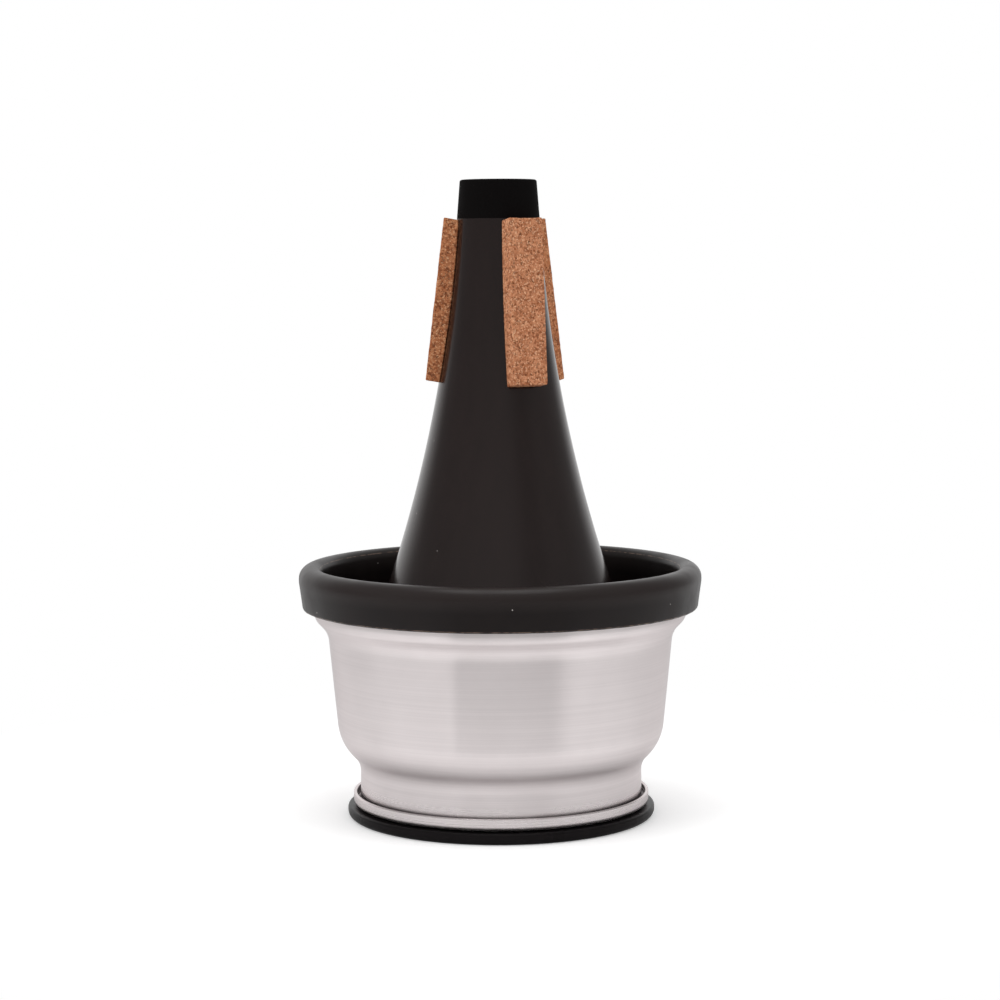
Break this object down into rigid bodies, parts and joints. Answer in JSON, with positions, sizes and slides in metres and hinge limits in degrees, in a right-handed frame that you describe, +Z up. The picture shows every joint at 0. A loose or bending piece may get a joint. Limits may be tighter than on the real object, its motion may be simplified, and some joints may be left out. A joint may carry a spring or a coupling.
{
  "type": "trumpet cup mute",
  "caption": "Cup mute for a trumpet bell: black flared cone with cork strips, and a spun aluminium cup with a rubber rim that slides on the cone.",
  "frame": {"origin": "centre of the underside of the base cap, on the surface that the mute stands on", "axes": "+Z up the mute's axis from the wide end to the small end, -Y towards the front, +X to the right seen from the front"},
  "size_m": [0.108, 0.108, 0.1703],
  "materials": {
    "cone_plastic": "glossy black moulding",
    "cap_plastic": "satin black moulding",
    "sleeve": "dull black",
    "cork": "pressed cork granules, cut faces",
    "cup_metal": "spun, fine turning lines",
    "rim_rubber": "smooth black rubber, satin",
    "lining": "black felt"
  },
  "bodies": {
    "cone": {"cone_shell": "cone_plastic", "base_cap": "cap_plastic", "tip_sleeve": "sleeve", "cork_strip_front": "cork", "cork_strip_left": "cork", "cork_strip_rear": "cork"},
    "cup": {"cup_shell": "cup_metal", "rim_bumper": "rim_rubber", "cup_lining": "lining", "neck_grip": "lining"}
  },
  "joints": [
    {"name": "cup_slide", "type": "slide", "parent": "cone", "child": "cup", "axis": [0, 0, 1], "range_m": [0, 0.17]}
  ]
}
